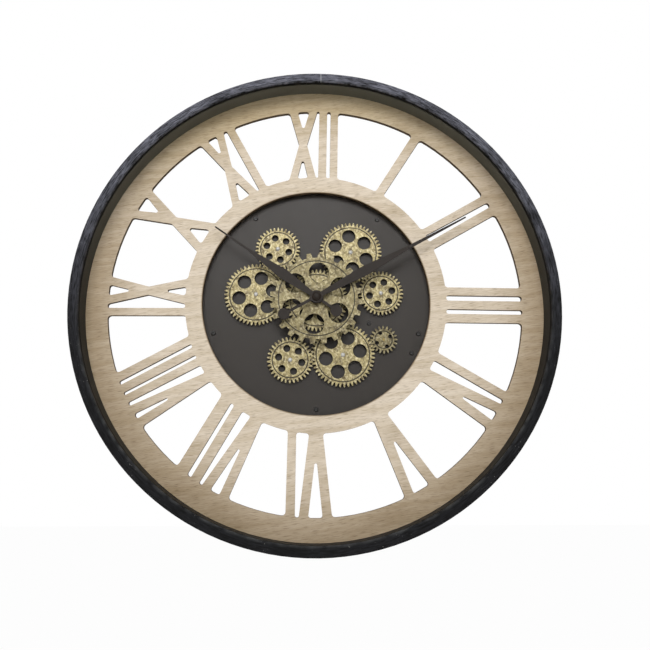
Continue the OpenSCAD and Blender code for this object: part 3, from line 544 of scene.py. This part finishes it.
def antique_brass(name, face_y, darker=0.0):
    """Steel plated in antique brass: rubbed bright on the faces, brown patina in the cuts."""
    made, tree, place = new_material(name)
    # Clouds of 7 mm, and rubbed marks and stains of 3 mm
    clouds = add(
        tree,
        "ShaderNodeTexNoise",
        {"Vector": place, "Scale": 150.0, "Detail": 4.0, "Roughness": 0.6, "Distortion": 0.5},
    )
    marks = add(
        tree,
        "ShaderNodeTexNoise",
        {
            "Vector": add(tree, "ShaderNodeMapping", {"Vector": place, "Scale": (330, 60, 280)}),
            "Scale": 1.0,
            "Detail": 4.0,
            "Roughness": 0.65,
        },
    )
    stains = add(
        tree,
        "ShaderNodeTexNoise",
        {"Vector": place, "Scale": 340.0, "Detail": 4.0, "Roughness": 0.65},
    )
    bright = add(
        tree,
        "ShaderNodeMix",
        {
            "Factor": add(
                tree, "ShaderNodeMapRange", {"Value": clouds, "From Min": 0.36, "From Max": 0.56}
            ),
            "A": linear("#564a2f"),
            "B": linear("#8e8259"),
        },
        data_type="RGBA",
    )
    rubbed = add(
        tree,
        "ShaderNodeMix",
        {
            "Factor": add(
                tree,
                "ShaderNodeMapRange",
                {"Value": marks, "From Min": 0.48, "From Max": 0.68, "To Max": 0.65},
            ),
            "A": bright,
            "B": linear("#ddd2aa"),
        },
        data_type="RGBA",
    )
    stained = add(
        tree,
        "ShaderNodeMix",
        {
            "Factor": add(
                tree,
                "ShaderNodeMapRange",
                {"Value": stains, "From Min": 0.54, "From Max": 0.74, "To Max": 0.9},
            ),
            "A": rubbed,
            "B": linear("#3a2f18"),
        },
        data_type="RGBA",
    )
    # Behind the face, in the engraved circle and down the sides, the patina stays
    depth = add(tree, "ShaderNodeSeparateXYZ", {"Vector": place}).outputs["Y"]
    below = add(
        tree,
        "ShaderNodeMapRange",
        {
            "Value": depth,
            "From Min": face_y + 0.05 * MM,
            "From Max": face_y + 0.25 * MM,
            "To Max": 0.93,
        },
    )
    colour = add(
        tree,
        "ShaderNodeMix",
        {"Factor": below, "A": stained, "B": linear("#1d170d")},
        data_type="RGBA",
    )
    if darker:
        colour = add(
            tree,
            "ShaderNodeMix",
            {"Factor": darker, "A": colour, "B": linear("#2b2617")},
            data_type="RGBA",
        )
    relief = add(tree, "ShaderNodeMath", {0: marks, 1: stains}, operation="SUBTRACT")
    shader = add(
        tree,
        "ShaderNodeBsdfPrincipled",
        {
            "Base Color": colour,
            "Metallic": 0.45,
            "Roughness": add(
                tree, "ShaderNodeMapRange", {"Value": clouds, "To Min": 0.55, "To Max": 0.38}
            ),
            "Normal": add(
                tree, "ShaderNodeBump", {"Height": relief, "Distance": 0.08 * MM, "Strength": 0.6}
            ),
        },
    )
    add(tree, "ShaderNodeOutputMaterial", {"Surface": shader})
    return made


def satin_enamel(name, dark, light, rough, gloss=0.35):
    """Sheet steel in satin enamel: an even dark coat with a faint orange peel."""
    made, tree, place = new_material(name)
    cloud = add(tree, "ShaderNodeTexNoise", {"Vector": place, "Scale": 9.0, "Detail": 3.0})
    peel = add(tree, "ShaderNodeTexNoise", {"Vector": place, "Scale": 600.0, "Detail": 2.0})
    shader = add(
        tree,
        "ShaderNodeBsdfPrincipled",
        {
            "Base Color": add(
                tree,
                "ShaderNodeMix",
                {"Factor": cloud, "A": linear(dark), "B": linear(light)},
                data_type="RGBA",
            ),
            "Roughness": add(
                tree,
                "ShaderNodeMapRange",
                {"Value": cloud, "To Min": rough - 0.05, "To Max": rough + 0.08},
            ),
            "Specular IOR Level": gloss,
            "Normal": add(
                tree, "ShaderNodeBump", {"Height": peel, "Distance": 0.02 * MM, "Strength": 0.5}
            ),
        },
    )
    add(tree, "ShaderNodeOutputMaterial", {"Surface": shader})
    return made


def worked_metal(name, dark, light, rough, metallic=1.0):
    """Turned, stamped or plated metal: fine marks in all directions and a slightly uneven gloss."""
    made, tree, place = new_material(name)
    marks = add(
        tree,
        "ShaderNodeTexNoise",
        {"Vector": place, "Scale": 350.0, "Detail": 4.0, "Roughness": 0.6},
    )
    shader = add(
        tree,
        "ShaderNodeBsdfPrincipled",
        {
            "Base Color": add(
                tree,
                "ShaderNodeMix",
                {"Factor": marks, "A": linear(dark), "B": linear(light)},
                data_type="RGBA",
            ),
            "Metallic": metallic,
            "Roughness": add(
                tree,
                "ShaderNodeMapRange",
                {"Value": marks, "To Min": rough - 0.08, "To Max": rough + 0.1},
            ),
            "Normal": add(
                tree, "ShaderNodeBump", {"Height": marks, "Distance": 0.01 * MM, "Strength": 0.5}
            ),
        },
    )
    add(tree, "ShaderNodeOutputMaterial", {"Surface": shader})
    return made


def moulded_plastic(name, dark, light, rough=0.5):
    """Injection-moulded plastic with a spark-eroded grain of about 0.4 mm."""
    made, tree, place = new_material(name)
    grain = add(tree, "ShaderNodeTexNoise", {"Vector": place, "Scale": 2400.0, "Detail": 2.0})
    tone = add(tree, "ShaderNodeTexNoise", {"Vector": place, "Scale": 40.0, "Detail": 2.0})
    shader = add(
        tree,
        "ShaderNodeBsdfPrincipled",
        {
            "Base Color": add(
                tree,
                "ShaderNodeMix",
                {"Factor": tone, "A": linear(dark), "B": linear(light)},
                data_type="RGBA",
            ),
            "Roughness": add(
                tree,
                "ShaderNodeMapRange",
                {"Value": grain, "To Min": rough - 0.08, "To Max": rough + 0.1},
            ),
            "Normal": add(
                tree, "ShaderNodeBump", {"Height": grain, "Distance": 0.03 * MM, "Strength": 0.6}
            ),
        },
    )
    add(tree, "ShaderNodeOutputMaterial", {"Surface": shader})
    return made


# Where the sleeve's colours change along a cell, from its middle towards the raised pole
COPPER_FROM = 12 * MM
RAISED_POLE_FROM = 23.7 * MM
FLAT_POLE_TO = -25 * MM


def battery_sleeve(name, middle, paired=False):
    """Shrink sleeve without words: dark body, copper shoulder, bare steel at both poles.

    The cells lie along x about this middle; of a pair, the lower one points the other way.
    """
    made, tree, place = new_material(name)
    axes = add(tree, "ShaderNodeSeparateXYZ", {"Vector": place}).outputs
    along = add(tree, "ShaderNodeMath", {0: axes["X"], 1: middle[0]}, operation="SUBTRACT")
    if paired:
        upper = add(tree, "ShaderNodeMath", {0: axes["Z"], 1: middle[2]}, operation="SUBTRACT")
        upper = add(tree, "ShaderNodeMath", {0: upper}, operation="SIGN")
        along = add(tree, "ShaderNodeMath", {0: along, 1: upper}, operation="MULTIPLY")
    scuffs = add(tree, "ShaderNodeTexNoise", {"Vector": place, "Scale": 160.0, "Detail": 4.0})
    dark = add(
        tree,
        "ShaderNodeMix",
        {"Factor": scuffs, "A": linear("#232527"), "B": linear("#34373a")},
        data_type="RGBA",
    )
    copper = add(
        tree,
        "ShaderNodeMix",
        {"Factor": scuffs, "A": linear("#8a4f2a"), "B": linear("#a9683c")},
        data_type="RGBA",
    )
    shoulder = add(tree, "ShaderNodeMath", {0: along, 1: COPPER_FROM}, operation="GREATER_THAN")
    sleeve = add(
        tree, "ShaderNodeMix", {"Factor": shoulder, "A": dark, "B": copper}, data_type="RGBA"
    )
    raised = add(
        tree, "ShaderNodeMath", {0: along, 1: RAISED_POLE_FROM}, operation="GREATER_THAN"
    )
    flat_end = add(tree, "ShaderNodeMath", {0: along, 1: FLAT_POLE_TO}, operation="LESS_THAN")
    bare = add(tree, "ShaderNodeMath", {0: raised, 1: flat_end}, operation="MAXIMUM")
    colour = add(
        tree,
        "ShaderNodeMix",
        {"Factor": bare, "A": sleeve, "B": linear("#c6c5c1")},
        data_type="RGBA",
    )
    shader = add(
        tree,
        "ShaderNodeBsdfPrincipled",
        {
            "Base Color": colour,
            "Metallic": bare,
            "Roughness": add(
                tree, "ShaderNodeMapRange", {"Value": scuffs, "To Min": 0.2, "To Max": 0.38}
            ),
        },
    )
    add(tree, "ShaderNodeOutputMaterial", {"Surface": shader})
    return made


def float_glass():
    """Coated float glass, 3 mm thick: clear from in front, a soft sheen at a flat angle."""
    made, tree, _ = new_material("coated_float_glass")
    clear = add(tree, "ShaderNodeBsdfTransparent", {"Color": WHITE})
    film = add(tree, "ShaderNodeBsdfGlossy", {"Roughness": 0.05, "Color": WHITE})
    # The coat takes away the reflection below about 50 degrees
    bare = add(tree, "ShaderNodeFresnel", {"IOR": 1.45})
    sheen = add(tree, "ShaderNodeMapRange", {"Value": bare, "From Min": 0.05, "From Max": 1.0})
    direct = add(tree, "ShaderNodeLightPath").outputs["Is Camera Ray"]
    weight = add(tree, "ShaderNodeMath", {0: sheen, 1: direct}, operation="MULTIPLY")
    # Only the outer skin reflects: light that leaves the pane passes
    leaving = add(tree, "ShaderNodeNewGeometry").outputs["Backfacing"]
    entering = add(tree, "ShaderNodeMath", {0: 1.0, 1: leaving}, operation="SUBTRACT")
    weight = add(tree, "ShaderNodeMath", {0: weight, 1: entering}, operation="MULTIPLY")
    pane = add(tree, "ShaderNodeMixShader", {0: weight, 1: clear, 2: film})
    add(tree, "ShaderNodeOutputMaterial", {"Surface": pane})
    return made


def middle_of(name):
    """The middle of a CAD node's box."""
    low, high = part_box(name)
    return [(a + b) / 2 for a, b in zip(low, high)]


def paint(names, made):
    """Give every one of these CAD nodes this one material."""
    for name in names:
        mesh = nodes[name].data
        mesh.materials.clear()
        mesh.materials.append(made)


zinc_plate = worked_metal("zinc_plated_steel", "#8f908f", "#b3b4b2", 0.4)
black_abs = moulded_plastic("black_abs", "#161616", "#202020")
paint(["rim_moulding"], dry_brushed_lacquer())
paint(["hoop"], flat_black_paint())
paint(["front_glass"], float_glass())
paint(
    ["dial_outer_band", "dial_inner_band", "numeral_bars", "numeral_vees", "numeral_crosses"],
    bleached_oak(),
)
paint(["gear_plate"], satin_enamel("dark_bronze_enamel", "#1f1914", "#28221b", 0.45, 0.32))
paint(["gear_case"], satin_enamel("black_enamel", "#2a2826", "#34312e", 0.5))
paint(["center_gear_front"], antique_brass("antique_brass_front", FRONT_GEAR_FACE, 0.36))
paint(
    [
        "gear_left",
        "gear_top_left",
        "gear_top_right",
        "gear_right",
        "gear_bottom_left",
        "gear_bottom_right",
    ],
    antique_brass("antique_brass", GEAR_FACE),
)
paint(["center_gear_rear"], antique_brass("antique_brass_shaded", GEAR_FACE, 0.1))
paint(["motor_gear"], antique_brass("antique_brass_pinion", GEAR_FACE, 0.42))
paint(
    ["center_hub", "center_nut", "hour_tube", "minute_arbor"],
    worked_metal("turned_brass", "#a08a4c", "#c4ad6a", 0.38),
)
paint(
    ["gear_axles", "center_post", "center_washer"],
    worked_metal("turned_steel", "#a9a7a3", "#cfcdc8", 0.5, 0.5),
)
paint(["motor_shaft"], worked_metal("darkened_brass", "#6d5f3c", "#8c7c50", 0.42))
paint(
    [
        "hanger_plate",
        "hanger_screws",
        "case_screws",
        "plate_posts",
        "gear_motor",
        "clock_contacts",
        "battery_contacts",
    ],
    zinc_plate,
)
paint(["plate_screws", "motor_screws"], satin_enamel("blackened_steel", "#171513", "#211f1c", 0.4))
paint(
    ["hour_hand", "minute_hand", "hub_cap"],
    satin_enamel("charcoal_lacquer", "#1a130e", "#231b14", 0.5, 0.22),
)
paint(["movement_case", "battery_box", "battery_door", "switch_body", "set_knob"], black_abs)
paint(["switch_slider"], moulded_plastic("ivory_abs", "#cfcabd", "#ddd8cc", 0.4))
paint(["clock_battery"], battery_sleeve("battery_shrink_sleeve", middle_of("clock_battery")))
paint(
    ["motor_batteries"],
    battery_sleeve("battery_pair_shrink_sleeves", middle_of("motor_batteries"), paired=True),
)
paint(["motor_leads"], moulded_plastic("red_pvc", "#8e1f1b", "#a52a24", 0.35))


def aimed_points(name, places):
    """A piece of loose points, each with the direction that the shape put on it looks along."""
    mesh = bpy.data.meshes.new(name)
    mesh.from_pydata([point for point, _ in places], [], [])
    aim = mesh.attributes.new("aim", "FLOAT_VECTOR", "POINT")
    aim.data.foreach_set("vector", [value for _, way in places for value in way])
    piece = bpy.data.objects.new(name, mesh)
    bpy.context.scene.collection.objects.link(piece)
    return piece


def spring_coil(tree, given):
    """A tapered coil of round wire that stands on its wide end."""
    path = add(
        tree,
        "GeometryNodeCurveSpiral",
        {
            "Resolution": 24,
            "Rotations": given["Turns"],
            "Start Radius": given["Base Radius"],
            "End Radius": given["Tip Radius"],
            "Height": given["Height"],
        },
    )
    wire = add(
        tree, "GeometryNodeCurvePrimitiveCircle", {"Resolution": 8, "Radius": given["Wire Radius"]}
    )
    coil = add(
        tree, "GeometryNodeCurveToMesh", {"Curve": path, "Profile Curve": wire, "Fill Caps": True}
    )
    return add(tree, "GeometryNodeSetShadeSmooth", {"Geometry": coil})


def tapered_stud(tree, given):
    """A low round stud with a bevelled side, such as a pin's head or a pressed button."""
    return add(
        tree,
        "GeometryNodeMeshCone",
        {
            "Vertices": 20,
            "Radius Top": given["Tip Radius"],
            "Radius Bottom": given["Base Radius"],
            "Depth": given["Height"],
        },
    )


def grip_rib(tree, given):
    """A straight bar, long across the aim."""
    size = add(
        tree,
        "ShaderNodeCombineXYZ",
        {"X": given["Length"], "Y": given["Width"], "Z": given["Height"]},
    )
    return add(tree, "GeometryNodeMeshCube", {"Size": size})


def grow(piece, shape, sizes, finish):
    """Put a shape on every point of a piece with Geometry Nodes, and keep the plain mesh."""
    tree = bpy.data.node_groups.new(piece.name, "GeometryNodeTree")
    tree.interface.new_socket("Geometry", in_out="OUTPUT", socket_type="NodeSocketGeometry")
    tree.interface.new_socket("Geometry", in_out="INPUT", socket_type="NodeSocketGeometry")
    for label in sizes:
        tree.interface.new_socket(label, in_out="INPUT", socket_type="NodeSocketFloat")
    tree.interface.new_socket("Finish", in_out="INPUT", socket_type="NodeSocketMaterial")
    given = add(tree, "NodeGroupInput").outputs
    aim = add(tree, "GeometryNodeInputNamedAttribute", {"Name": "aim"}, data_type="FLOAT_VECTOR")
    copies = add(
        tree,
        "GeometryNodeInstanceOnPoints",
        {
            "Points": given["Geometry"],
            "Instance": shape(tree, given),
            "Rotation": add(tree, "FunctionNodeAlignRotationToVector", {"Vector": aim}, axis="Z"),
        },
    )
    real = add(tree, "GeometryNodeRealizeInstances", {"Geometry": copies})
    finished = add(tree, "GeometryNodeSetMaterial", {"Geometry": real, "Material": given["Finish"]})
    add(tree, "NodeGroupOutput", {"Geometry": finished})
    modifier = piece.modifiers.new("copies", "NODES")
    modifier.node_group = tree
    values = dict(sizes, Finish=finish)
    for item in tree.interface.items_tree:
        if item.in_out == "INPUT" and item.name in values:
            modifier[item.identifier] = values[item.name]
    graph = bpy.context.evaluated_depsgraph_get()
    mesh = bpy.data.meshes.new_from_object(piece.evaluated_get(graph))
    piece.modifiers.clear()
    piece.data = mesh
    return piece


# Panel pins through the moulding's skirt into the hoop, their heads all but flush
rim_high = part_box("rim_moulding")[1]
PIN_COUNT = 12
PIN_SETBACK = 4 * MM
PIN_SUNK = 0.1 * MM
skirt = Vector((0, rim_high[1] - PIN_SETBACK, 0))
pin_heads = []
for i in range(PIN_COUNT):
    angle = math.radians((i + 0.5) * 360 / PIN_COUNT)
    way = Vector((math.sin(angle), 0, math.cos(angle)))
    pin_heads.append((way * (rim_high[0] - PIN_SUNK) + skirt, way))
pins = grow(
    aimed_points("moulding_pins", pin_heads),
    tapered_stud,
    {"Base Radius": 1.4 * MM, "Tip Radius": 0.8 * MM, "Height": 0.4 * MM},
    zinc_plate,
)
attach(pins, "frame")

# Springs at the flat poles of the motor's cells and pressed buttons at the raised ones
cells_low, cells_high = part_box("motor_batteries")
strips_low, strips_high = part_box("battery_contacts")
STRIP_T = 0.4 * MM
cell_r = (cells_high[1] - cells_low[1]) / 2
depth_y = (cells_high[1] + cells_low[1]) / 2
gap = cells_low[0] - strips_low[0] - STRIP_T
left_x = strips_low[0] + STRIP_T
right_x = strips_high[0] - STRIP_T
upper_z = cells_high[2] - cell_r
lower_z = cells_low[2] + cell_r
springs = grow(
    aimed_points(
        "battery_springs",
        [((left_x, depth_y, upper_z), (1, 0, 0)), ((right_x, depth_y, lower_z), (-1, 0, 0))],
    ),
    spring_coil,
    {
        "Base Radius": 3.4 * MM,
        "Tip Radius": 1.8 * MM,
        "Wire Radius": 0.22 * MM,
        "Height": gap,
        "Turns": 2.5,
    },
    zinc_plate,
)
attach(springs, "frame")
buttons = grow(
    aimed_points(
        "battery_buttons",
        [((right_x, depth_y, upper_z), (-1, 0, 0)), ((left_x, depth_y, lower_z), (1, 0, 0))],
    ),
    tapered_stud,
    {"Base Radius": 2.6 * MM, "Tip Radius": 1.4 * MM, "Height": gap},
    zinc_plate,
)
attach(buttons, "frame")

# Finger ribs near the free edge of the battery door, on the side that faces the wall
door_low, door_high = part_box("battery_door")
RIB_COUNT = 5
RIB_PITCH = 2 * MM
RIB_RISE = 0.4 * MM
FIRST_RIB = 1.5  # pitches above the door's lower edge
door_middle = (door_low[0] + door_high[0]) / 2
rib_points = [
    ((door_middle, door_high[1], door_low[2] + (i + FIRST_RIB) * RIB_PITCH), (0, 1, 0))
    for i in range(RIB_COUNT)
]
ribs = grow(
    aimed_points("door_ribs", rib_points),
    grip_rib,
    {"Length": 22 * MM, "Width": 0.8 * MM, "Height": 2 * RIB_RISE},
    black_abs,
)
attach(ribs, "door")

# Studio: white surroundings, soft lamps above and in front, a pale floor well below the clock
scene = bpy.context.scene
scene.view_settings.view_transform = "Standard"

world = bpy.data.worlds.new("studio")
world.use_nodes = True
world.node_tree.nodes.clear()
scene.world = world
# White where the camera sees it, dimmer in mirror rays and dimmest as a light
MIRRORED_SHARE = 0.35
SURROUND_STRENGTH = 0.46
tree = world.node_tree
rays, seen = kinds_of_ray(tree)
mirrored = add(
    tree,
    "ShaderNodeMath",
    {0: rays["Is Glossy Ray"], 1: MIRRORED_SHARE},
    operation="MULTIPLY",
)
seen = add(tree, "ShaderNodeMath", {0: seen, 1: mirrored}, operation="MAXIMUM")
strength = add(
    tree, "ShaderNodeMapRange", {"Value": seen, "To Min": SURROUND_STRENGTH, "To Max": 1.0}
)
background = add(tree, "ShaderNodeBackground", {"Color": WHITE, "Strength": strength})
add(tree, "ShaderNodeOutputWorld", {"Surface": background})

FLOOR_Z = -0.75
FLOOR_HALF = 6.0
FLOOR_GLOW_SHARE = 0.97
floor_mesh = bpy.data.meshes.new("floor")
floor_mesh.from_pydata(
    [(x * FLOOR_HALF, y * FLOOR_HALF, FLOOR_Z) for x, y in ((-1, -1), (1, -1), (1, 1), (-1, 1))],
    [],
    [(0, 1, 2, 3)],
)
floor = bpy.data.objects.new("floor", floor_mesh)
scene.collection.objects.link(floor)
made, tree, _ = new_material("white_floor")
matt = add(
    tree, "ShaderNodeBsdfPrincipled", {"Base Color": linear("#e8e8e6"), "Roughness": 0.8}
)
glow = add(tree, "ShaderNodeEmission", {"Color": WHITE, "Strength": 1.0})
seen = kinds_of_ray(tree)[1]
share = add(tree, "ShaderNodeMath", {0: seen, 1: FLOOR_GLOW_SHARE}, operation="MULTIPLY")
surface = add(tree, "ShaderNodeMixShader", {0: share, 1: matt, 2: glow})
add(tree, "ShaderNodeOutputMaterial", {"Surface": surface})
floor_mesh.materials.append(made)

DIAL_MIDDLE = Vector((0, -0.05, 0))


def soft_lamp(name, place, size, watts):
    """A rectangular lamp that looks at the middle of the dial."""
    data = bpy.data.lights.new(name, "AREA")
    data.shape = "RECTANGLE"
    data.size, data.size_y = size
    data.energy = watts
    lamp = bpy.data.objects.new(name, data)
    lamp.location = place
    lamp.rotation_euler = (DIAL_MIDDLE - Vector(place)).to_track_quat("-Z", "Y").to_euler()
    scene.collection.objects.link(lamp)


soft_lamp("top_softbox", place=(-0.1, -1.9, 1.05), size=(1.4, 0.9), watts=29)
soft_lamp("front_fill", place=(0.0, -2.4, 0.2), size=(1.8, 1.8), watts=8)

# Camera as fitted to the photograph: below the middle, looking up, with the lens shifted down
CAMERA_PLACE = (-0.01123, -0.92137, -0.19773)
CAMERA_DEGREES = (105.714, 0.036, -1.417)
SENSOR_MM = 36.0
LENS_MM = 39.834
LENS_SHIFT = -0.1
camera_data = bpy.data.cameras.new("camera")
camera_data.sensor_width = SENSOR_MM
camera_data.lens = LENS_MM
camera_data.shift_y = LENS_SHIFT
camera = bpy.data.objects.new("camera", camera_data)
camera.location = CAMERA_PLACE
camera.rotation_euler = [math.radians(a) for a in CAMERA_DEGREES]
scene.collection.objects.link(camera)
scene.camera = camera
